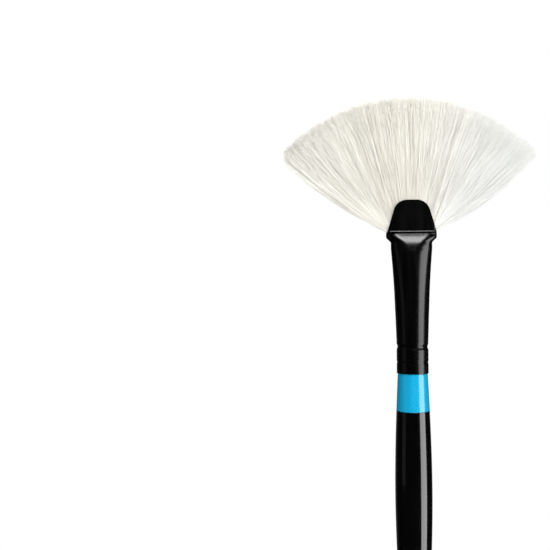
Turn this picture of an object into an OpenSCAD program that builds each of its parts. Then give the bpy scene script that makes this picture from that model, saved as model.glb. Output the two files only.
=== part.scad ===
// Long-handled artist's fan brush, standing on its tail with the bristles up.
// X runs across the fan, Y through its thickness, and Z along the handle.
// The origin is the middle of the tail's end. All sizes are in millimetres.

/* [Handle] */
// Length of the handle from its tail to the back of the ferrule
handle_len = 250; // [240:5:280]
// Diameter where the handle meets the ferrule
neck_d = 7.4; // [7.3:0.1:7.7]
// Largest diameter of the handle
belly_d = 9.2; // [8.6:0.1:10]
// Distance from the ferrule down to the largest diameter
belly_drop = 30; // [26:1:36]
// Length over which the swelling dies away below the belly
belly_fall = 60; // [50:2:90]
// Diameter that the slender part starts from
waist_d = 5.6; // [5:0.1:6]
// Diameter of the straight tail
tail_d = 4.4; // [4:0.1:4.8]
// Length of the straight tail
tail_len = 14; // [12:1:20]
// Rounding of the tail's end
tail_round = 1.8; // [1:0.1:1.9]
// Thickness of the lacquer on the wood
lacquer_t = 0.2; // [0.15:0.05:0.25]
// Length of the coloured band below the ferrule
band_len = 9.4; // [6:0.2:14]
// Diameter of the tenon inside the ferrule
tenon_d = 6.92; // [6.8:0.02:6.96]
// Length of the tenon inside the ferrule
tenon_len = 15; // [12:1:16]

/* [Ferrule] */
// Length of the ferrule from its back to the top of its mouth
ferrule_len = 43.2; // [43:0.1:44]
// Outer diameter of the straight back
ferrule_back_d = 7.86; // [7.8:0.02:7.9]
// Outer diameter of the round tube at its widest
ferrule_tube_d = 8.4; // [8.2:0.1:8.6]
// Width of the tube just below its ears
shoulder_w = 10.3; // [10.1:0.1:10.5]
// Thickness of the tube just below its ears, before the faces are pressed in
shoulder_t = 6.4; // [6.2:0.1:6.6]
// Wall thickness of the tube
ferrule_wall = 0.35; // [0.3:0.01:0.36]
// Width of the flattened mouth at its ears
mouth_w = 12.7; // [12.6:0.05:12.8]
// Outer thickness of the flattened mouth
mouth_t = 2.75; // [2.7:0.05:3]
// Height above the ferrule's back where the mouth starts to narrow
mouth_corner_z = 34.6; // [34.5:0.1:34.8]
// Lean of the mouth's cut sides from upright, in degrees
mouth_lean = 17; // [16:0.5:17.5]
// Rounding of the mouth's upper corners
mouth_round = 3.4; // [3:0.1:3.5]
// Depth of the main crimp
crimp_depth = 0.22; // [0.1:0.01:0.22]
// Depth of the faint second crimp
crimp_faint_depth = 0.09; // [0.02:0.01:0.1]

/* [Bristles] */
// Radius of the fan's upper edge
fan_r = 44.6; // [42:0.2:46]
// Half of the fan's opening angle, in degrees
fan_half_angle = 45.5; // [40:0.5:48]
// Height of the fan's centre above the ferrule's back
fan_centre_z = 24.1; // [23:0.1:25]
// Thickness of the tuft where it leaves the mouth
fan_root_t = 1.8; // [1.6:0.1:1.9]
// Thickness of the tuft at the tips
fan_tip_t = 1.1; // [0.8:0.1:1.4]
// Height of the line where the bristles flex, above the mouth
flex_above_mouth = 0.8; // [0.7:0.1:1]
// Diameter of the binding thread
thread_d = 0.3; // [0.24:0.02:0.32]
// Turns of the binding thread
thread_turns = 4; // [3:1:5]

/* [Hidden] */
$fn = 96;

// Fits between the pieces
fit = 0.04;
soft_fit = 0.05;

// Handle
tail_start = handle_len - tail_len;
tail_flat_r = tail_d / 2 - tail_round;
dome_step = 15;
dome_gap = 0.2;
handle_step = 2;
band_z = handle_len - band_len;
tenon_chamfer = 0.6;

// Ferrule: a round back, an oval stretch, and a facet pressed into each face
tube_start_z = 8;
tube_full_z = 16;
oval_start_z = 14;
oval_end_z = 31;
oval_bend = 1.6;
ear_start_z = 32.4;
ear_full_z = 34;
facet_start_z = 29.2;
facet_bend = 1.5;
facet_end_z = 34.7;
facet_top_w = 7;
mouth_edge = 0.9;
edge_len = 0.5;
bead_z = 35.15;
bead_w = 0.8;
bead_h = 0.11;
crimp_z = 6.6;
crimp_w = 1.8;
crimp_faint_z = 2.7;
crimp_faint_w = 1.2;
crimp_step = 0.3;
section_sides = 40;
tube_r_full = ferrule_tube_d / 2;
mouth_flat = mouth_w / 2 - mouth_edge;

// What the ferrule holds
glue_z = 0.3;
glue_len = 8.4;
plug_z = 17;
plug_len = 5.4;
roots_z = 22.5;
thread_z = 24;
thread_pitch = 0.45;
thread_steps = 36;
thread_sides = 8;
waist_below = 0.7;
waist_above = 0.5;
waist_from_z = thread_z - waist_below;
waist_to_z = thread_z + thread_turns * thread_pitch + waist_above;
roots_gap = ferrule_wall + soft_fit;
waist_gap = roots_gap + thread_d + soft_fit;

// Tuft
flex_z = ferrule_len + flex_above_mouth;
flex_r = fan_root_t / 2;
flex_gap = 0.15;
roots_top_z = flex_z - flex_r - flex_gap;
slab_above_ears = 0.2;
slab_side_h = 4;
slab_inset = 0.6;
slab_top_share = 0.45;
slab_fit = 0.15;
slab_z = ear_full_z + slab_above_ears;
slab_side_z = mouth_corner_z + slab_side_h;
slab_half_w = mouth_flat - slab_inset;
slab_top_half_w = mouth_flat * slab_top_share;
slab_t = mouth_t - 2 * ferrule_wall - slab_fit;
wing_t = 0.9;
wing_gap = 0.1;
slit_above_corner = 1.8;
slit_z = mouth_corner_z + slit_above_corner;
fan_top_z = fan_centre_z + fan_r;
fan_corner = [fan_r * sin(fan_half_angle), fan_centre_z + fan_r * cos(fan_half_angle)];
fan_low_corner = fan_corner - [1, 3];
arc_step = 3.5;

// The tuft's lower edge leaves the ear flat and bends up to the fan's corner
ear_point = [mouth_w / 2 + wing_gap, mouth_corner_z];
edge_bend = [23, 44.6];
edge_steps = 8;

function mix(a, b, t) = a + (b - a) * t;
function clamp01(t) = min(max(t, 0), 1);
function smooth(t) = let (u = clamp01(t)) u * u * (3 - 2 * u);
function dip(z, middle, width) =
  abs(z - middle) < width / 2 ? (1 + cos(360 * (z - middle) / width)) / 2 : 0;
function reversed(list) = [for (i = [len(list) - 1:-1:0]) list[i]];

// Radius of the lacquered handle at a distance s below the ferrule
function handle_r(s) =
  s < belly_drop
    ? mix(neck_d, belly_d, sin(90 * s / belly_drop)) / 2
    : let (
        slim = mix(waist_d, tail_d, clamp01((s - belly_drop) / (tail_start - belly_drop))),
        swell = (1 + cos(180 * clamp01((s - belly_drop) / belly_fall))) / 2
      ) (slim + (belly_d - waist_d) * swell) / 2;

// Half profile of the handle from its end up to z_to, taken in by inset
function tail_points(inset) = [
  [0, inset],
  for (a = [0:dome_step:90])
    [tail_flat_r + (tail_round - inset) * sin(a), tail_round - (tail_round - inset) * cos(a)]
];
function shaft_points(z_from, z_to, inset) =
  let (steps = ceil((z_to - z_from) / handle_step))
  [for (i = [0:steps]) let (z = mix(z_from, z_to, i / steps)) [handle_r(handle_len - z) - inset, z]];

// Height z is measured from the ferrule's back in all that follows
function tube_r(z) =
  mix(ferrule_back_d / 2, tube_r_full, clamp01((z - tube_start_z) / (tube_full_z - tube_start_z)));
function crimps(z) =
  crimp_depth * dip(z, crimp_z, crimp_w) + crimp_faint_depth * dip(z, crimp_faint_z, crimp_faint_w);
function back_points(z_from, z_to, inset) =
  let (steps = ceil((z_to - z_from) / crimp_step))
  [for (i = [0:steps]) let (z = mix(z_from, z_to, i / steps)) [tube_r(z) - crimps(z) - inset, z]];

// How oval the tube is, from 0 where it's round to 1 below the ears
function oval(z) = pow(clamp01((z - oval_start_z) / (oval_end_z - oval_start_z)), oval_bend);

// Half of the tube's width
function half_w(z) =
  tube_r(z) - crimps(z)
  + (shoulder_w / 2 - tube_r_full) * oval(z)
  + (mouth_w - shoulder_w) / 2 * smooth((z - ear_start_z) / (ear_full_z - ear_start_z));

// Half of the tube's thickness, with the facet that falls away to the mouth
function half_t(z) =
  let (
    unpressed = tube_r(z) - crimps(z) - (tube_r_full - shoulder_t / 2) * oval(z),
    fall = pow(clamp01((z - facet_start_z) / (facet_end_z - facet_start_z)), 2)
  )
  mix(unpressed, mouth_t / 2, fall) + bead_h * dip(z, bead_z, bead_w);

// Half of the flat's width: it opens up the facet, then takes nearly all of the mouth
function flat_w(z) =
  z < facet_end_z
    ? facet_top_w / 2 * pow(clamp01((z - facet_start_z) / (facet_end_z - facet_start_z)), facet_bend)
    : mix(facet_top_w / 2, mouth_flat, smooth((z - facet_end_z) / edge_len));

// Point of the tube's section at height z, taken in by inset
function section_point(z, angle, inset) =
  let (flat = flat_w(z))
  [
    sign(cos(angle)) * flat + (half_w(z) - flat - inset) * cos(angle),
    (half_t(z) - inset) * sin(angle),
    z
  ];
function section(z, inset) =
  [for (i = [0:section_sides - 1]) section_point(z, 360 * (i + 0.5) / section_sides, inset)];

// Triangles between rings of equal size: the sides, and both ends
function side_faces(rings, n) = [
  for (k = [0:rings - 2], i = [0:n - 1])
    let (a = k * n + i, b = k * n + (i + 1) % n)
    each [[a, a + n, b], [b, a + n, b + n]]
];
function end_faces(rings, n) = [
  [for (i = [0:n - 1]) i],
  [for (i = [n - 1:-1:0]) (rings - 1) * n + i]
];

// Closed solid through the given rings of points
module skin(rings) {
  n = len(rings[0]);
  polyhedron(
    points = [for (ring = rings) each ring],
    faces = concat(side_faces(len(rings), n), end_faces(len(rings), n)),
    convexity = 6
  );
}

// Solid of the tube's own section through the listed heights, each with its inset
module tube_solid(heights, insets) {
  skin([for (i = [0:len(heights) - 1]) section(heights[i], insets[i])]);
}

// Flat outline in X and Z, given thickness through Y
module across(thickness) {
  rotate([90, 0, 0])
    linear_extrude(height = thickness, center = true)
      children();
}

// Wood blank with its tenon
module handle_core() {
  inset = lacquer_t + fit;
  color("burlywood")
    rotate_extrude()
      polygon(concat(
        tail_points(inset),
        shaft_points(tail_round + dome_gap, handle_len, inset),
        [
          [tenon_d / 2, handle_len],
          for (z = [glue_z:crimp_step:glue_z + glue_len]) [tenon_d / 2 - crimps(z), handle_len + z],
          [tenon_d / 2, handle_len + tenon_len - tenon_chamfer],
          [tenon_d / 2 - tenon_chamfer, handle_len + tenon_len],
          [0, handle_len + tenon_len]
        ]
      ));
}

// Gloss coat over the wood, from the tail's end to the band
module handle_lacquer() {
  color([0.01, 0.01, 0.012])
    rotate_extrude()
      polygon(concat(
        tail_points(0),
        shaft_points(tail_len, band_z, 0),
        reversed(shaft_points(tail_round + dome_gap, band_z, lacquer_t)),
        reversed(tail_points(lacquer_t))
      ));
}

// Coloured coat in the same layer, next to the ferrule
module color_band() {
  z_from = band_z + fit;
  z_to = handle_len - fit;
  color([0.02, 0.6, 0.88])
    rotate_extrude()
      polygon(concat(
        shaft_points(z_from, z_to, 0),
        reversed(shaft_points(z_from, z_to, lacquer_t))
      ));
}

// Outline that the flattened mouth is cut to
module mouth_outline() {
  corner_z = ferrule_len - mouth_round;
  side_x = mouth_w / 2 - (corner_z - mouth_corner_z) * tan(mouth_lean);
  corner_x = side_x - mouth_round / cos(mouth_lean);
  right = [
    [mouth_w, 0],
    [mouth_w, mouth_corner_z],
    [mouth_w / 2, mouth_corner_z],
    for (a = [mouth_lean:7.5:90]) [corner_x + mouth_round * cos(a), corner_z + mouth_round * sin(a)]
  ];
  polygon(concat(right, [for (p = reversed(right)) [-p[0], p[1]]]));
}

// Heights of the rings round the ferrule, closest where its shape changes quickly
ferrule_heights = concat(
  [0],
  [for (i = [-2:2]) crimp_faint_z + crimp_faint_w * i / 4],
  [for (i = [-3:3]) crimp_z + crimp_w * i / 6],
  [for (z = [tube_start_z + 1:3:facet_start_z]) z],
  [for (i = [0:4]) mix(facet_start_z, ear_start_z, i / 4)],
  [for (i = [1:7]) mix(ear_start_z, facet_end_z, i / 7)],
  [for (i = [-2:3]) bead_z + bead_w * i / 5],
  [ferrule_len]
);

// Seamless metal tube, pressed flat at its front and cut to the mouth's outline
module ferrule() {
  last = len(ferrule_heights) - 1;
  past = 0.5;
  color([0.02, 0.02, 0.022])
    translate([0, 0, handle_len])
      intersection() {
        difference() {
          tube_solid(ferrule_heights, [for (z = ferrule_heights) 0]);
          tube_solid(
            [for (i = [0:last]) ferrule_heights[i] + (i == 0 ? -past : i == last ? past : 0)],
            [for (z = ferrule_heights) ferrule_wall]
          );
        }
        across(2 * ferrule_tube_d) mouth_outline();
      }
}

// Adhesive between the tenon and the ferrule
module ferrule_glue() {
  z_to = glue_z + glue_len;
  color([0.85, 0.72, 0.4])
    translate([0, 0, handle_len])
      rotate_extrude()
        polygon(concat(
          back_points(glue_z, z_to, ferrule_wall + fit),
          reversed([for (p = back_points(glue_z, z_to, 0)) [tenon_d / 2 + fit - crimps(p[1]), p[1]]])
        ));
}

// Resin that holds the butts of the bristles
module resin_plug() {
  heights = [plug_z, plug_z + plug_len / 2, plug_z + plug_len];
  color([0.75, 0.55, 0.2])
    translate([0, 0, handle_len])
      tube_solid(heights, [for (z = heights) ferrule_wall + fit]);
}

// Right half of the tuft's lower edge, from the ear outwards
function low_edge() = [
  for (i = [0:edge_steps])
    let (t = i / edge_steps)
    ear_point * pow(1 - t, 2) + edge_bend * 2 * t * (1 - t) + fan_low_corner * pow(t, 2)
];
function mirrored(list) = [for (p = reversed(list)) [-p[0], p[1]]];

// Outline of the whole tuft outside the mouth
module tuft_outline() {
  polygon(concat(
    low_edge(),
    [for (a = [fan_half_angle:-arc_step:-fan_half_angle])
      [fan_r * sin(a), fan_centre_z + fan_r * cos(a)]],
    mirrored(low_edge())
  ));
}

// Region that the wings may fill: clear of the mouth's sides, and below the flexing line
module wing_region() {
  slit_x = mouth_w / 2 - (slit_z - mouth_corner_z) * tan(mouth_lean) + wing_gap;
  inner = [[ear_point[0], 0], ear_point, [slit_x, slit_z]];
  polygon(concat(
    [[2 * fan_r, roots_top_z], [2 * fan_r, 0]],
    inner,
    mirrored(inner),
    [[-2 * fan_r, 0], [-2 * fan_r, roots_top_z]]
  ));
}

// Held part of the tuft: a bundle in the tube, a slab in the mouth, and a wing each side
module bristle_roots() {
  waist_rise = 0.3;
  slab_lap = 0.2;
  heights = concat(
    [roots_z, waist_from_z, waist_from_z + waist_rise, waist_to_z - waist_rise, waist_to_z],
    [for (i = [0:4]) mix(facet_start_z, ear_start_z, i / 4)],
    [for (i = [1:5]) mix(ear_start_z, slab_z + slab_lap, i / 5)]
  );
  insets = [for (z = heights) z > waist_from_z && z < waist_to_z ? waist_gap : roots_gap];
  color([0.9, 0.88, 0.8])
    translate([0, 0, handle_len]) {
      tube_solid(heights, insets);
      across(slab_t)
        polygon([
          [-slab_half_w, slab_z], [slab_half_w, slab_z],
          [slab_half_w, slab_side_z], [slab_top_half_w, roots_top_z],
          [-slab_top_half_w, roots_top_z], [-slab_half_w, slab_side_z]
        ]);
      intersection() {
        across(wing_t) tuft_outline();
        across(2 * wing_t) wing_region();
      }
    }
}

// Thread wound round the bundle before it is set in resin
module root_thread() {
  steps = thread_turns * thread_steps;
  inset = roots_gap + thread_d / 2;
  rings = [for (k = [0:steps])
    let (
      angle = 360 * (k + 0.5) / thread_steps,
      z = thread_z + thread_pitch * k / thread_steps,
      middle = section_point(z, angle, inset),
      out = [cos(angle), sin(angle), 0]
    )
    [for (j = [0:thread_sides - 1])
      let (turn = 360 * j / thread_sides)
      middle + thread_d / 2 * (cos(turn) * out + [0, 0, sin(turn)])]
  ];
  color("ivory")
    translate([0, 0, handle_len])
      skin(rings);
}

// Free part of the tuft, round along the line it flexes about and thin at the tips
module bristle_fan() {
  color([0.93, 0.92, 0.87])
    translate([0, 0, handle_len])
      intersection() {
        across(2 * fan_root_t) tuft_outline();
        rotate([90, 0, 90])
          linear_extrude(height = 2 * fan_r, center = true)
            union() {
              translate([0, flex_z]) circle(flex_r);
              polygon([
                [-flex_r, flex_z], [flex_r, flex_z],
                [fan_tip_t / 2, fan_top_z], [-fan_tip_t / 2, fan_top_z]
              ]);
            }
      }
}

handle_core();
handle_lacquer();
color_band();
ferrule();
ferrule_glue();
resin_plug();
bristle_roots();
root_thread();
bristle_fan();
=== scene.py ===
"""Looks of the fan paint brush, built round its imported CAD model.

Lengths are in millimetres until a mesh or camera is made, and the lamps are in metres.
Heights in the ferrule and the fan are measured from the ferrule's back. The brush stands
along Z, its fan lies along X, and the photographed side faces -Y.
"""

import math

import bmesh
import bpy
import numpy as np
from mathutils import Euler, Matrix, Vector


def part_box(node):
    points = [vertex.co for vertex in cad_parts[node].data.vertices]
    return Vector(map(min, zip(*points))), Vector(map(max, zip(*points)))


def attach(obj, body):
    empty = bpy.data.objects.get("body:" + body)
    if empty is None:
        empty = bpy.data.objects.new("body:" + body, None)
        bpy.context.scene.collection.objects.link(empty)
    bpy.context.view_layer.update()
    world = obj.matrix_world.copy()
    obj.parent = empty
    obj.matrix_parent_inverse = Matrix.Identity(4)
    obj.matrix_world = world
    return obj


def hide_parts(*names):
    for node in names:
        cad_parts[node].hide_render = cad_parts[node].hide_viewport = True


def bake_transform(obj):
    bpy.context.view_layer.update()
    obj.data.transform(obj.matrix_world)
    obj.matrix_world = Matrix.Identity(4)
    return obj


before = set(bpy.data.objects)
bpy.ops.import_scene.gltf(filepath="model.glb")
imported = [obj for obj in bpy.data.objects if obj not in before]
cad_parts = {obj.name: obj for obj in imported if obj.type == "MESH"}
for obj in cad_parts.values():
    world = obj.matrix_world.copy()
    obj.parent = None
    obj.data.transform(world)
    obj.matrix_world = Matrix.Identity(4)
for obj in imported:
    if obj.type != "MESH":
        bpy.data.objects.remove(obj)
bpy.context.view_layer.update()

MM = 0.001
rng = np.random.default_rng(7)


# ---------------------------------------------------------------- sizes from the frame


def box_mm(node):
    """Lowest and highest corner of a CAD node, in millimetres."""
    low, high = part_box(node)
    return np.array(low) / MM, np.array(high) / MM


ferrule_low, ferrule_high = box_mm("ferrule")
lacquer_low, lacquer_high = box_mm("handle_lacquer")
band_low, band_high = box_mm("color_band")
fan_low, fan_high = box_mm("bristle_fan")

FERRULE_Z = ferrule_low[2]
FERRULE_LEN = ferrule_high[2] - ferrule_low[2]
MOUTH_W = ferrule_high[0] - ferrule_low[0]
BELLY_D = lacquer_high[0] - lacquer_low[0]
BAND_Z = lacquer_high[2]
FAN_TOP = fan_high[2] - FERRULE_Z

# Handle, as the CAD turns it
NECK_D = 7.4
BELLY_DROP = 30.0
BELLY_FALL = 60.0
WAIST_D = 5.6
TAIL_D = 4.4
TAIL_LEN = 14.0
TAIL_ROUND = 1.8
LACQUER_T = 0.2

# Ferrule, as the CAD lofts it
BACK_D = 7.86
TUBE_D = 8.4
TUBE_START, TUBE_FULL = 8.0, 16.0
SHOULDER_W, SHOULDER_T = 10.3, 6.4
OVAL_START, OVAL_END, OVAL_BEND = 14.0, 31.0, 1.6
EAR_START, EAR_FULL = 32.4, 34.0
CUT_Z = 34.6
MOUTH_T = 2.75
MOUTH_EDGE, EDGE_LEN = 0.9, 0.5
MOUTH_LEAN = math.radians(17)
MOUTH_ROUND = 3.4
WALL = 0.35
FACET_START, FACET_END = 29.2, 34.7
FACET_TOP_W, FACET_BEND = 7.0, 1.5
BEAD_Z, BEAD_W, BEAD_H = 35.15, 0.8, 0.11
CRIMPS = ((6.6, 1.8, 0.22), (2.7, 1.2, 0.09))  # height, width and depth of each

# Fan
FAN_R = 44.6
FAN_CENTRE = FAN_TOP - FAN_R


def mix(a, b, t):
    """From a, where t is 0, to b, where t is 1."""
    return a + (b - a) * t


def smooth(t):
    """0 to 1 with level ends, and held there outside of 0 to 1."""
    u = np.clip(t, 0, 1)
    return u * u * (3 - 2 * u)


def dip(z, middle, width):
    """A smooth bump, 1 at the middle and 0 from half a width away."""
    away = np.abs(z - middle)
    return np.where(away < width / 2, (1 + np.cos(2 * np.pi * away / width)) / 2, 0)


# ---------------------------------------------------------------- meshes


def new_object(name, points_mm, faces, materials):
    """A smooth-shaded object from points in millimetres."""
    mesh = bpy.data.meshes.new(name)
    mesh.from_pydata((np.asarray(points_mm) * MM).tolist(), [], faces)
    mesh.validate()
    mesh.shade_smooth()
    for material in materials:
        mesh.materials.append(material)
    made = bpy.data.objects.new(name, mesh)
    bpy.context.scene.collection.objects.link(made)
    return made


def settle_modifiers(made, sharp_deg):
    """Applies the modifiers, and keeps the edges over sharp_deg sharp."""
    shown = made.evaluated_get(bpy.context.evaluated_depsgraph_get())
    mesh = bpy.data.meshes.new_from_object(shown)
    made.modifiers.clear()
    made.data = mesh
    mesh.shade_smooth()
    mesh.set_sharp_from_angle(angle=math.radians(sharp_deg))


def lathe(name, profile, materials, turns=112):
    """A closed half section of (radius, z) points, turned round the Z axis."""
    profile = np.asarray(profile)
    angles = np.linspace(0, 2 * np.pi, turns, endpoint=False)
    rings = len(profile)
    points = np.empty((rings, turns, 3))
    points[:, :, 0] = profile[:, :1] * np.cos(angles)
    points[:, :, 1] = profile[:, :1] * np.sin(angles)
    points[:, :, 2] = profile[:, 1:2]
    faces = []
    for k in range(rings):
        a, b = k * turns, (k + 1) % rings * turns
        faces += [
            (a + i, a + (i + 1) % turns, b + (i + 1) % turns, b + i) for i in range(turns)
        ]
    made = new_object(name, points.reshape(-1, 3), faces, materials)
    weld(made)
    return made


def weld(made, gap_mm=0.002):
    """Joins points that lie together, and turns all faces outwards."""
    bm = bmesh.new()
    bm.from_mesh(made.data)
    bmesh.ops.remove_doubles(bm, verts=bm.verts, dist=gap_mm * MM)
    bmesh.ops.dissolve_degenerate(bm, edges=bm.edges, dist=1e-9)
    bmesh.ops.recalc_face_normals(bm, faces=bm.faces)
    bm.to_mesh(made.data)
    bm.free()
    made.data.shade_smooth()
    made.data.set_sharp_from_angle(angle=math.radians(40))


# ---------------------------------------------------------------- materials


class Paint:
    """A Principled material and short ways to add nodes to it."""

    def __init__(self, name, color, roughness, **sockets):
        self.material = bpy.data.materials.new(name)
        self.material.use_nodes = True
        self.tree = self.material.node_tree
        self.shader = self.tree.nodes["Principled BSDF"]
        self.shader.inputs["Base Color"].default_value = (*color, 1)
        self.shader.inputs["Roughness"].default_value = roughness
        for socket, value in sockets.items():
            self.shader.inputs[socket.replace("_", " ")].default_value = value

    def node(self, kind, **values):
        """A new node, its sockets and settings set by name."""
        made = self.tree.nodes.new(kind)
        for name, value in values.items():
            if hasattr(made, name):
                setattr(made, name, value)
            else:
                made.inputs[name.replace("_", " ")].default_value = value
        return made

    def link(self, source, target):
        """Joins an output to an input."""
        self.tree.links.new(source, target)

    def noise(self, per_mm, stretch=(1, 1, 1), detail=3.0):
        """Noise with per_mm cells to the millimetre, stretched along X, Y and Z."""
        where = self.node("ShaderNodeTexCoord")
        scaled = self.node("ShaderNodeMapping")
        scaled.inputs["Scale"].default_value = [per_mm / MM / s for s in stretch]
        made = self.node("ShaderNodeTexNoise", Scale=1.0, Detail=detail)
        self.link(where.outputs["Object"], scaled.inputs["Vector"])
        self.link(scaled.outputs["Vector"], made.inputs["Vector"])
        return made.outputs["Fac"]

    def ranged(self, value, low, high, from_low=0.3, from_high=0.7):
        """Value, mostly between from_low and from_high, spread over low to high."""
        made = self.node("ShaderNodeMapRange")
        made.inputs["From Min"].default_value = from_low
        made.inputs["From Max"].default_value = from_high
        made.inputs["To Min"].default_value = low
        made.inputs["To Max"].default_value = high
        self.link(value, made.inputs["Value"])
        return made.outputs["Result"]

    def blend(self, share, color_a, color_b):
        """Colour between a and b, each a colour or a node's output."""
        made = self.node("ShaderNodeMix", data_type="RGBA")
        self.link(share, made.inputs["Factor"])
        for socket, color in ((made.inputs[6], color_a), (made.inputs[7], color_b)):
            if isinstance(color, bpy.types.NodeSocket):
                self.link(color, socket)
            else:
                socket.default_value = (*color, 1)
        return made.outputs[2]

    def bump(self, height, depth_mm, strength=1.0):
        """Fine relief of the surface."""
        made = self.node("ShaderNodeBump", Strength=strength, Distance=depth_mm * MM)
        self.link(height, made.inputs["Height"])
        self.link(made.outputs["Normal"], self.shader.inputs["Normal"])

    def into(self, socket, value):
        """Feeds one of the shader's own sockets."""
        self.link(value, self.shader.inputs[socket])


def lacquer(name, color, cloud_color):
    """Dipped gloss lacquer: a hard coat over colour, with faint ripples and rubbed spots."""
    paint = Paint(name, color, 0.12, Coat_Weight=1.0, Coat_Roughness=0.03, IOR=1.5)
    cloud = paint.noise(0.12, stretch=(1, 1, 5))
    paint.into("Base Color", paint.blend(paint.ranged(cloud, 0, 1), color, cloud_color))
    rubbed = paint.noise(1.4, stretch=(1, 1, 9), detail=5)
    paint.into("Roughness", paint.ranged(rubbed, 0.08, 0.2))
    paint.bump(paint.noise(0.35, stretch=(1, 1, 3), detail=1), 0.012, 0.35)
    return paint.material


def black_metal():
    """Satin black ferrule metal, drawn lengthways, with faint rubbed marks."""
    dark, rubbed = (0.0004, 0.0004, 0.0005), (0.0013, 0.0013, 0.0014)
    paint = Paint("ferrule_black", dark, 0.2, IOR=1.55)
    marks = paint.noise(0.9, stretch=(1, 1, 12), detail=6)
    paint.into("Base Color", paint.blend(paint.ranged(marks, 0, 1, 0.45, 0.75), dark, rubbed))
    paint.into("Roughness", paint.ranged(marks, 0.18, 0.24))
    paint.bump(paint.noise(2.5, stretch=(1, 1, 30), detail=2), 0.004, 0.3)
    return paint.material


def cut_metal():
    """The ferrule's cut edge, where the black has rubbed thin."""
    dark, bare = (0.012, 0.012, 0.012), (0.07, 0.072, 0.068)
    paint = Paint("ferrule_cut_edge", dark, 0.3, Metallic=0.4)
    worn = paint.noise(1.6, detail=5)
    paint.into("Base Color", paint.blend(paint.ranged(worn, 0, 1), dark, bare))
    paint.into("Roughness", paint.ranged(worn, 0.22, 0.42))
    return paint.material


def bristle_hair():
    """Pale hair. The strands carry tone, dark to pale, darkened towards the mouth as painted
    shade, and a tint from cream to a colder white, painted paler and cooler on the sides as
    painted light.
    """
    paint = Paint("bristle_hair", (0.9, 0.87, 0.78), 0.45, IOR=1.5)
    tone = paint.node("ShaderNodeAttribute", attribute_name="tone").outputs["Fac"]
    # The side tint is painted light: the hair turns paler and cooler towards the sides.
    tint_and_side_light = paint.node("ShaderNodeAttribute", attribute_name="tint_and_side_light").outputs["Fac"]
    pale = paint.blend(tint_and_side_light, (0.95, 0.94, 0.895), (0.955, 0.96, 0.95))
    dark = paint.blend(tint_and_side_light, (0.6, 0.56, 0.45), (0.52, 0.53, 0.52))
    mottled = paint.blend(tone, dark, pale)
    fibre = paint.ranged(paint.noise(0.8, stretch=(1, 1, 6)), 0, 0.08)
    paint.into("Base Color", paint.blend(fibre, mottled, (0.62, 0.58, 0.46)))
    paint.into("Roughness", paint.ranged(paint.noise(1.2), 0.38, 0.55))
    through = paint.node("ShaderNodeBsdfTranslucent")
    paint.link(mottled, through.inputs["Color"])
    both = paint.node("ShaderNodeMixShader", Fac=0.45)
    paint.link(paint.shader.outputs[0], both.inputs[1])
    paint.link(through.outputs[0], both.inputs[2])
    paint.link(both.outputs[0], paint.tree.nodes["Material Output"].inputs["Surface"])
    return paint.material


def bare_wood():
    """Straight-grained hardwood under the lacquer."""
    paint = Paint("handle_wood", (0.6, 0.42, 0.24), 0.6)
    grain = paint.noise(0.9, stretch=(1, 1, 25), detail=6)
    paint.into("Base Color", paint.blend(grain, (0.42, 0.26, 0.13), (0.74, 0.56, 0.35)))
    paint.bump(grain, 0.05)
    return paint.material


def set_resin(name, color, deep_color, roughness):
    """Hardened resin or glue, clouded and slightly uneven."""
    paint = Paint(name, color, roughness)
    cloud = paint.noise(0.6, detail=4)
    paint.into("Base Color", paint.blend(cloud, deep_color, color))
    paint.bump(cloud, 0.04)
    return paint.material


def cotton_thread():
    """Twisted pale thread."""
    paint = Paint("root_thread_cotton", (0.8, 0.76, 0.66), 0.85)
    twist = paint.noise(6.0, stretch=(1, 1, 0.5))
    paint.into("Base Color", paint.blend(twist, (0.55, 0.5, 0.4), (0.88, 0.85, 0.76)))
    paint.bump(twist, 0.03)
    return paint.material


def pale_floor():
    """Plain studio paper."""
    paint = Paint("studio_floor", (0.82, 0.82, 0.81), 0.6)
    cloud = paint.noise(0.02, detail=2)
    paint.into("Base Color", paint.blend(cloud, (0.8, 0.8, 0.8), (0.84, 0.84, 0.83)))
    return paint.material


# ---------------------------------------------------------------- handle


def handle_r(z):
    """Radius of the lacquered handle at height z."""
    drop = FERRULE_Z - np.asarray(z, float)
    upper = mix(NECK_D, BELLY_D, np.sin(np.pi / 2 * np.clip(drop / BELLY_DROP, 0, 1)))
    taper_len = FERRULE_Z - TAIL_LEN - BELLY_DROP
    slim = mix(WAIST_D, TAIL_D, np.clip((drop - BELLY_DROP) / taper_len, 0, 1))
    swell = (1 + np.cos(np.pi * np.clip((drop - BELLY_DROP) / BELLY_FALL, 0, 1))) / 2
    lower = slim + (BELLY_D - WAIST_D) * swell
    return np.where(drop < BELLY_DROP, upper, lower) / 2


def coat(z_low, z_high, lip, step=1.2):
    """Outside, rounded upper edge and inside of a coat's section from z_low to z_high."""
    heights = np.linspace(z_low, z_high, max(6, int((z_high - z_low) / step)))
    arc = np.linspace(0, np.pi / 2, 5)
    outside = [(handle_r(z), z) for z in heights[1:-1]]
    upper = [
        (handle_r(z_high) - lip * (1 - math.cos(a)), z_high - lip * (1 - math.sin(a)))
        for a in arc
    ]
    inside = [(handle_r(z) - LACQUER_T, z) for z in heights[::-1]]
    return outside, upper, inside


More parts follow.
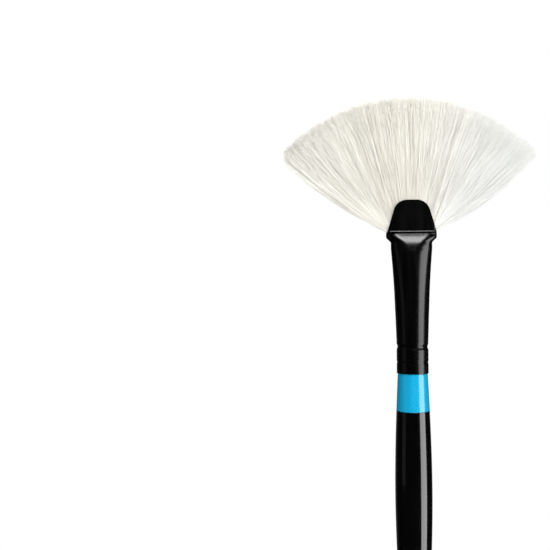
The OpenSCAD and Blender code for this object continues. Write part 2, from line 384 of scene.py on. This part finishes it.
def build_lacquer(material):
    """The black coat, from the rounded tail up to the blue band."""
    outside, upper, inside = coat(TAIL_LEN, BAND_Z, 0.03)
    flat_r = TAIL_D / 2 - TAIL_ROUND
    end = [
        (flat_r + TAIL_ROUND * math.sin(a), TAIL_ROUND * (1 - math.cos(a)))
        for a in np.linspace(0, np.pi / 2, 16)
    ]
    inner_round = TAIL_ROUND - LACQUER_T
    inner_end = [
        (flat_r + inner_round * math.sin(a), TAIL_ROUND - inner_round * math.cos(a))
        for a in np.linspace(np.pi / 2, 0, 16)
    ]
    straight = [(TAIL_D / 2, z) for z in np.linspace(TAIL_ROUND + 1, TAIL_LEN, 8)]
    return lathe(
        "handle_lacquer_coat",
        [(0, 0)] + end + straight + outside + upper + inside + inner_end + [(0, LACQUER_T)],
        [material],
    )


def build_band(material):
    """The blue coat, with both edges rounded."""
    outside, upper, inside = coat(band_low[2], band_high[2], 0.05, step=0.5)
    lower = [(r, band_low[2] + band_high[2] - z) for r, z in reversed(upper)]
    shift = handle_r(band_low[2]) - handle_r(band_high[2])
    lower = [(r + shift, z) for r, z in lower]
    return lathe("color_band_coat", lower + outside + upper + inside, [material])


# ---------------------------------------------------------------- ferrule


def crimps(z):
    """Depth of the grooves that hold the ferrule to the handle."""
    return sum(depth * dip(z, middle, width) for middle, width, depth in CRIMPS)


def tube_r(z):
    """Radius of the tube before it is pressed."""
    return mix(BACK_D, TUBE_D, np.clip((z - TUBE_START) / (TUBE_FULL - TUBE_START), 0, 1)) / 2


def oval(z):
    """How far the tube is pressed, from 0 where it is round to 1 below the ears."""
    return np.clip((z - OVAL_START) / (OVAL_END - OVAL_START), 0, 1) ** OVAL_BEND


def half_w(z):
    """Half of the tube's width."""
    ears = (MOUTH_W - SHOULDER_W) / 2 * smooth((z - EAR_START) / (EAR_FULL - EAR_START))
    return tube_r(z) - crimps(z) + (SHOULDER_W - TUBE_D) / 2 * oval(z) + ears


def half_t(z):
    """Half of the tube's thickness, with the facet that falls away to the mouth."""
    unpressed = tube_r(z) - crimps(z) - (TUBE_D - SHOULDER_T) / 2 * oval(z)
    fall = np.clip((z - FACET_START) / (FACET_END - FACET_START), 0, 1) ** 2
    return mix(unpressed, MOUTH_T / 2, fall) + BEAD_H * dip(z, BEAD_Z, BEAD_W)


def flat_w(z):
    """Half of the flat's width: it opens up the facet, then takes nearly all of the mouth."""
    if z < FACET_END:
        rise = (z - FACET_START) / (FACET_END - FACET_START)
        return FACET_TOP_W / 2 * float(np.clip(rise, 0, 1)) ** FACET_BEND
    return mix(FACET_TOP_W / 2, MOUTH_W / 2 - MOUTH_EDGE, smooth((z - FACET_END) / EDGE_LEN))


def mouth_half_w(z):
    """Half of the width that the mouth is cut to at height z."""
    corner_z = FERRULE_LEN - MOUTH_ROUND
    side_x = MOUTH_W / 2 - (corner_z - CUT_Z) * math.tan(MOUTH_LEAN)
    corner_x = side_x - MOUTH_ROUND / math.cos(MOUTH_LEAN)
    turn_z = corner_z + MOUTH_ROUND * math.sin(MOUTH_LEAN)
    if z < turn_z:
        return MOUTH_W / 2 - (z - CUT_Z) * math.tan(MOUTH_LEAN)
    return corner_x + math.sqrt(max(MOUTH_ROUND**2 - (z - corner_z) ** 2, 0))


def half_section(z, count):
    """Points along the front half of the tube's section, from its right to its left."""
    w, t, flat = half_w(z), half_t(z), flat_w(z)
    turn = np.linspace(0, np.pi / 2, 60)
    across = np.linspace(flat, -flat, 60)[1:-1]
    end_x, end_y = flat + (w - flat) * np.cos(turn), t * np.sin(turn)
    x = np.concatenate([end_x, across, -end_x[::-1]])
    y = np.concatenate([end_y, np.full(len(across), t), end_y[::-1]])
    if z > CUT_Z:
        cut = min(mouth_half_w(z), w)
        edge_y = np.interp(cut, x[::-1], y[::-1])
        inner = np.abs(x) < cut
        x = np.concatenate([[cut], x[inner], [-cut]])
        y = np.concatenate([[edge_y], y[inner], [edge_y]])
    run = np.concatenate([[0], np.cumsum(np.hypot(np.diff(x), np.diff(y)))])
    even = np.linspace(0, run[-1], count)
    return np.stack([np.interp(even, run, x), -np.interp(even, run, y)], 1)


def ferrule_heights():
    """Heights of the rings, close together where the shape changes quickly."""
    corner_z = FERRULE_LEN - MOUTH_ROUND
    stretches = [
        np.arange(0, EAR_START, 0.5),
        np.arange(0.2, 8.2, 0.13),
        np.arange(FACET_START - 2, FACET_END, 0.16),
        np.arange(FACET_END, BEAD_Z + 0.7, 0.055),
        np.arange(BEAD_Z + 0.7, corner_z, 0.5),
        corner_z + MOUTH_ROUND * np.sin(np.linspace(MOUTH_LEAN, np.pi / 2, 22)),
        [CUT_Z],
    ]
    heights = np.unique(np.concatenate(stretches))
    far = np.concatenate([[True], np.diff(heights) > 0.03])
    kept = set(heights[far].round(6)) | {CUT_Z, round(FERRULE_LEN, 6)}
    return sorted(kept)


def build_ferrule(metal, edge_metal, count=90):
    """The tube's outer surface, given its wall and a softened, worn edge."""
    heights = ferrule_heights()
    points, faces = [], []
    for z in heights:
        front = half_section(z, count)
        for side in (1, -1):
            points += [(x, y * side, FERRULE_Z + z) for x, y in front]
    for k in range(len(heights) - 1):
        for side in (0, 1):
            a = (2 * k + side) * count
            b = a + 2 * count
            faces += [(a + i, a + i + 1, b + i + 1, b + i) for i in range(count - 1)]
    made = new_object("ferrule_tube", points, faces, [metal, edge_metal])
    weld(made)
    wall = made.modifiers.new("wall", "SOLIDIFY")
    wall.thickness = WALL * MM
    wall.offset = -1
    wall.use_even_offset = True
    wall.material_offset_rim = 1
    soft = made.modifiers.new("soft_edge", "BEVEL")
    soft.width = 0.06 * MM
    soft.segments = 2
    soft.limit_method = "ANGLE"
    soft.angle_limit = math.radians(50)
    settle_modifiers(made, 60)
    return made


# ---------------------------------------------------------------- bristles

HAIR_PIECES = ("bristles_front", "bristles_middle", "bristles_back")
HAIR_COUNT = 6600
HAIR_R = 0.049
HAIR_SIDES = 3
INNER_STEPS = 4
OUTER_STEPS = 11
CLUMPS = 110
SPREAD = math.radians(47.3)

# Butts: an oval bundle in the tube
BUTT_Z = 22.6
BUNDLE_HALF_W, BUNDLE_HALF_T = 3.3, 3.0
BUNDLE_ROUND = 0.96

# Exit: straight out of the mouth along its middle, and bent out beside the ears
STRAIGHT = math.radians(24)
LOW_EXIT = math.radians(64)
EXIT_Z, EXIT_DROP = 36, 1.4
EXIT_INSET = 0.25
EXIT_HALF_T, EXIT_SIDE_HALF_T = 0.88, 0.3

# Tips
TIP_HALF_T = 0.65
TIP_SLACK = 0.4
CORNER_CUT = 2.2
WAVE_TURN = 5.5

# Painted shade towards the mouth: how much, up to which share of a strand, and fading over what
# share
ROOT_SHADE, SHADE_END, SHADE_LEN = 0.16, 0.8, 0.22


def hermite(p0, p1, d0, d1, t):
    """Points at t on the curves from p0 to p1, with end directions d0 and d1."""
    t = t[None, :, None]
    p0, p1, d0, d1 = (v[:, None, :] for v in (p0, p1, d0, d1))
    return (
        (2 * t**3 - 3 * t**2 + 1) * p0
        + (t**3 - 2 * t**2 + t) * d0
        + (-2 * t**3 + 3 * t**2) * p1
        + (t**3 - t**2) * d1
    )


def upward(angle):
    """Directions in the fan's plane, leaning from the vertical by the angles."""
    return np.stack([np.sin(angle), np.zeros_like(angle), np.cos(angle)], 1)


def hair_paths():
    """Paths, depths, tones and side tints of all hairs, from butt to tip; the side tint is
    painted light, paler and cooler on the sides.
    """
    spread = np.linspace(-1, 1, HAIR_COUNT) + rng.normal(0, 0.012, HAIR_COUNT)
    spread = np.clip(spread, -1, 1)
    angle = spread * SPREAD
    depth = rng.uniform(-1, 1, HAIR_COUNT)

    middles = np.sort(rng.uniform(-1, 1, CLUMPS)) * SPREAD
    nearest = np.abs(angle[:, None] - middles[None, :]).argmin(1)
    pull = rng.uniform(0.02, 0.16, CLUMPS)[nearest]
    tip_angle = mix(angle, middles[nearest], pull) + rng.normal(0, 0.012, HAIR_COUNT)

    shorter = np.abs(rng.normal(0, 0.75, HAIR_COUNT)) + rng.normal(0, 0.12, CLUMPS)[nearest]
    broken = rng.random(HAIR_COUNT) < 0.03
    shorter += broken * rng.uniform(1, 7, HAIR_COUNT)
    corner = CORNER_CUT * smooth((np.abs(tip_angle) / SPREAD - 0.94) / 0.08)
    reach = FAN_R + TIP_SLACK - shorter - corner
    clump_depth = rng.normal(0, 0.06, CLUMPS)[nearest]

    outer = np.clip((np.abs(angle) - STRAIGHT) / (SPREAD - STRAIGHT), 0, 1)
    sign = np.sign(angle)
    exit_z = EXIT_Z - EXIT_DROP * outer
    straight_x = (EXIT_Z - FAN_CENTRE) * np.tan(np.minimum(np.abs(angle), STRAIGHT))
    exit_x = sign * (straight_x - EXIT_INSET * outer)
    exit_y = depth * mix(EXIT_HALF_T, EXIT_SIDE_HALF_T, outer)
    exit_angle = np.where(outer > 0, sign * mix(STRAIGHT, LOW_EXIT, outer**0.9), angle)
    tip = np.stack([
        reach * np.sin(tip_angle),
        depth * TIP_HALF_T + clump_depth,
        FAN_CENTRE + reach * np.cos(tip_angle),
    ], 1)
    leave = np.stack([exit_x, exit_y, exit_z], 1)
    length = np.linalg.norm(tip - leave, axis=1)[:, None]
    end_angle = tip_angle + rng.normal(0, 0.05, HAIR_COUNT)
    t_out = np.linspace(0, 1, OUTER_STEPS)
    free = hermite(leave, tip, upward(exit_angle) * length, upward(end_angle) * length, t_out)

    round_y = depth * BUNDLE_HALF_T * np.sqrt(1 - BUNDLE_ROUND * spread**2)
    butt = np.stack([spread * BUNDLE_HALF_W, round_y, np.full(HAIR_COUNT, BUTT_Z)], 1)
    rise = np.linalg.norm(leave - butt, axis=1)[:, None]
    t_in = np.linspace(0, 1, INNER_STEPS, endpoint=False)
    held = hermite(butt, leave, upward(0 * angle) * rise, upward(exit_angle) * rise, t_in)
    paths = np.concatenate([held, free], 1)

    wave = rng.uniform(0, 2 * np.pi, (HAIR_COUNT, 2))
    swing = rng.normal(0, 0.075, (HAIR_COUNT, 2))
    amount = np.concatenate([np.zeros(INNER_STEPS), smooth(t_out * 1.4)])
    along = np.concatenate([np.zeros(INNER_STEPS), t_out])
    for axis in (0, 1):
        bend = np.sin(wave[:, axis, None] + WAVE_TURN * along) * swing[:, axis, None]
        paths[:, :, axis] += bend * amount
    paths[:, :, 2] += FERRULE_Z

    tone = rng.normal(0.9, 0.045, HAIR_COUNT) + rng.normal(0, 0.03, CLUMPS)[nearest]
    tone -= (rng.random(HAIR_COUNT) < 0.06) * rng.uniform(0.2, 0.7, HAIR_COUNT)
    # Painted light: the hair is tinted paler and cooler on the right side, and a little on the
    # left, with a random tint on top.
    right_side_light = smooth((angle + 0.15) / (SPREAD + 0.15))
    left_side_light = 0.3 * smooth(-angle / SPREAD)
    tint_and_side_light = np.clip(right_side_light + left_side_light + rng.normal(0, 0.1, HAIR_COUNT), 0, 1)
    return paths, depth + clump_depth, np.clip(tone, 0, 1), tint_and_side_light


def hair_radii(count):
    """Each hair thins out to half over its last two fifths."""
    along = np.linspace(0, 1, INNER_STEPS + OUTER_STEPS)
    taper = mix(1.0, 0.5, smooth((along - 0.6) / 0.4))
    return HAIR_R * taper[None, :] * rng.uniform(0.75, 1.2, count)[:, None]


def build_hairs(name, paths, radii, tone, tint_and_side_light, material, sides=HAIR_SIDES):
    """Thin tubes along the paths, as one object, with painted shade darkening them towards the
    mouth.
    """
    count, steps, _ = paths.shape
    forward = np.gradient(paths, axis=1)
    forward /= np.linalg.norm(forward, axis=2, keepdims=True)
    beside = np.cross(forward, [0.0, 1.0, 0.0])
    beside /= np.linalg.norm(beside, axis=2, keepdims=True)
    above = np.cross(forward, beside)
    turn = rng.uniform(0, 2 * np.pi, count)[:, None] + np.arange(sides) * 2 * np.pi / sides
    ring = (
        np.cos(turn)[:, None, :, None] * beside[:, :, None, :]
        + np.sin(turn)[:, None, :, None] * above[:, :, None, :]
    )
    points = paths[:, :, None, :] + radii[:, :, None, None] * ring
    grid = np.arange(count * steps * sides).reshape(count, steps, sides)
    after = np.roll(grid, -1, axis=2)
    walls = np.stack([grid[:, :-1], grid[:, 1:], after[:, 1:], after[:, :-1]], -1)
    walls = walls.reshape(-1, 4)
    ends = np.concatenate([grid[:, 0], grid[:, -1, ::-1]])

    mesh = bpy.data.meshes.new(name)
    mesh.vertices.add(points.size // 3)
    mesh.vertices.foreach_set("co", (points * MM).astype(np.float32).ravel())
    corners = np.concatenate([walls.ravel(), ends.ravel()])
    sizes = np.concatenate([np.full(len(walls), 4), np.full(len(ends), sides)])
    mesh.loops.add(len(corners))
    mesh.loops.foreach_set("vertex_index", corners.astype(np.int32))
    mesh.polygons.add(len(sizes))
    starts = np.concatenate([[0], np.cumsum(sizes)[:-1]])
    mesh.polygons.foreach_set("loop_start", starts.astype(np.int32))
    mesh.update(calc_edges=True)
    along = np.linspace(0, 1, steps)
    # Painted shade: each strand is darkened towards the mouth.
    shade = ROOT_SHADE * smooth((SHADE_END - along) / SHADE_LEN)
    tones = np.clip(tone[:, None] - shade, 0, 1)
    tints_and_side_light = tint_and_side_light[:, None] + 0 * along
    for attribute, values in (("tone", tones), ("tint_and_side_light", tints_and_side_light)):
        made = mesh.attributes.new(attribute, "FLOAT", "POINT")
        made.data.foreach_set("value", np.repeat(values.ravel(), sides).astype(np.float32))
    mesh.shade_smooth()
    mesh.materials.append(material)
    hairs = bpy.data.objects.new(name, mesh)
    bpy.context.scene.collection.objects.link(hairs)
    return hairs


def build_bristles(material):
    """All hairs, in three objects from front to back."""
    paths, depth, tone, tint_and_side_light = hair_paths()
    radii = hair_radii(len(paths))
    layers = np.array_split(np.argsort(depth), len(HAIR_PIECES))
    return [
        build_hairs(name, paths[rows], radii[rows], tone[rows], tint_and_side_light[rows], material)
        for name, rows in zip(HAIR_PIECES, layers)
    ]


# ---------------------------------------------------------------- the object

black_lacquer = lacquer("lacquer_black", (0.0003, 0.0003, 0.0004), (0.0006, 0.0006, 0.0007))
blue_lacquer = lacquer("lacquer_blue", (0.0015, 0.19, 0.335), (0.002, 0.205, 0.355))
made_lacquer = build_lacquer(black_lacquer)
made_band = build_band(blue_lacquer)
made_ferrule = build_ferrule(black_metal(), cut_metal())
made_bristles = build_bristles(bristle_hair())

for piece, node, slot in (
    (made_lacquer, "handle_lacquer", "black_lacquer"),
    (made_band, "color_band", "blue_lacquer"),
    (made_ferrule, "ferrule", "black_metal"),
):
    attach(piece, "brush")
    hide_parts(node)

for piece in made_bristles:
    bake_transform(piece)
    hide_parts("bristle_fan", "bristle_roots")

inner_materials = {
    "handle_core": bare_wood(),
    "ferrule_glue": set_resin("dried_glue", (0.78, 0.64, 0.36), (0.6, 0.45, 0.2), 0.45),
    "resin_plug": set_resin("amber_resin", (0.62, 0.4, 0.13), (0.4, 0.22, 0.05), 0.2),
    "root_thread": cotton_thread(),
}
for node, material in inner_materials.items():
    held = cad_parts[node]
    held.data.materials.clear()
    held.data.materials.append(material)

# ---------------------------------------------------------------- floor, lights, camera


def build_floor(radius_m=0.25):
    """A pale disc that the brush stands on, and that its gloss doesn't show."""
    angles = np.linspace(0, 2 * np.pi, 128, endpoint=False)
    rim = np.stack([np.cos(angles), np.sin(angles), 0 * angles], 1) * radius_m / MM
    floor = new_object("studio_floor", rim, [tuple(range(128))], [pale_floor()])
    floor.visible_glossy = False


def softbox(name, azimuth, elevation, distance, width, height, radiance, target, in_gloss=True):
    """A rectangular lamp in metres that faces the target, as bright as radiance."""
    data = bpy.data.lights.new(name, "AREA")
    data.shape = "RECTANGLE"
    data.size, data.size_y = width, height
    data.energy = radiance * math.pi * width * height
    lamp = bpy.data.objects.new(name, data)
    a, e = math.radians(azimuth), math.radians(elevation)
    away = Vector((math.sin(a) * math.cos(e), -math.cos(a) * math.cos(e), math.sin(e)))
    lamp.location = Vector(target) + away * distance
    lamp.rotation_euler = away.to_track_quat("Z", "Y").to_euler()
    lamp.visible_camera = False
    lamp.visible_glossy = in_gloss
    bpy.context.scene.collection.objects.link(lamp)
    return lamp


def build_lights():
    """One key from the right, one over the mouth, faint cards, and two for the bristles."""
    head = (0, 0, (FERRULE_Z + FERRULE_LEN) * MM)
    low = (0, 0, 0.11)
    level = (0, 0, 0.25)
    middle = (0, 0, 0.36)
    softbox("key_right", 58, 0, 0.62, 0.46, 0.72, 3.5, low)
    softbox("top_front", 9, 53, 0.75, 0.3, 0.24, 11.3, head)
    softbox("left_card", -72, 5, 0.8, 0.35, 0.8, 0.1, middle)
    softbox("back_left", -155, 2, 0.9, 0.5, 0.8, 0.06, level)
    softbox("back_right", 155, 2, 0.9, 0.5, 0.8, 0.06, level)
    softbox("hair_front", 8, 12, 0.8, 1.0, 1.0, 3.6, middle, in_gloss=False)
    softbox("hair_back", 180, 12, 0.8, 1.0, 1.0, 2.2, middle, in_gloss=False)


def build_world():
    """White behind the object, and soft light all round that its gloss hardly shows."""
    world = bpy.data.worlds.new("studio")
    bpy.context.scene.world = world
    world.use_nodes = True
    tree = world.node_tree
    tree.nodes.clear()
    path = tree.nodes.new("ShaderNodeLightPath")
    soft, dark, white = (tree.nodes.new("ShaderNodeBackground") for _ in range(3))
    soft.inputs["Strength"].default_value = 0.8
    dark.inputs["Strength"].default_value = 0.008
    for background in (soft, dark, white):
        background.inputs["Color"].default_value = (1, 1, 1, 1)
    by_gloss = tree.nodes.new("ShaderNodeMixShader")
    by_view = tree.nodes.new("ShaderNodeMixShader")
    out = tree.nodes.new("ShaderNodeOutputWorld")
    tree.links.new(path.outputs["Is Glossy Ray"], by_gloss.inputs["Fac"])
    tree.links.new(soft.outputs[0], by_gloss.inputs[1])
    tree.links.new(dark.outputs[0], by_gloss.inputs[2])
    tree.links.new(path.outputs["Is Camera Ray"], by_view.inputs["Fac"])
    tree.links.new(by_gloss.outputs[0], by_view.inputs[1])
    tree.links.new(white.outputs[0], by_view.inputs[2])
    tree.links.new(by_view.outputs[0], out.inputs["Surface"])


def build_camera():
    """Looks along +Y from in front of the frame's middle, to the left of the brush."""
    view_w = 137.5
    distance = 216.0
    beside = 34.19
    below_mouth = 18.4
    data = bpy.data.cameras.new("camera")
    data.sensor_width = 36.0
    data.lens = data.sensor_width * distance / view_w
    data.clip_start = 0.01
    camera = bpy.data.objects.new("camera", data)
    height = FERRULE_Z + FERRULE_LEN - below_mouth
    camera.location = Vector((-beside, -distance, height)) * MM
    level = Euler((math.radians(90), 0, 0)).to_matrix()
    roll = Matrix.Rotation(math.radians(-0.55), 3, "Z")
    camera.rotation_euler = (level @ roll).to_euler()
    bpy.context.scene.collection.objects.link(camera)
    bpy.context.scene.camera = camera


build_floor()
build_lights()
build_world()
build_camera()
bpy.context.scene.view_settings.view_transform = "Standard"
bpy.context.scene.view_settings.look = "None"
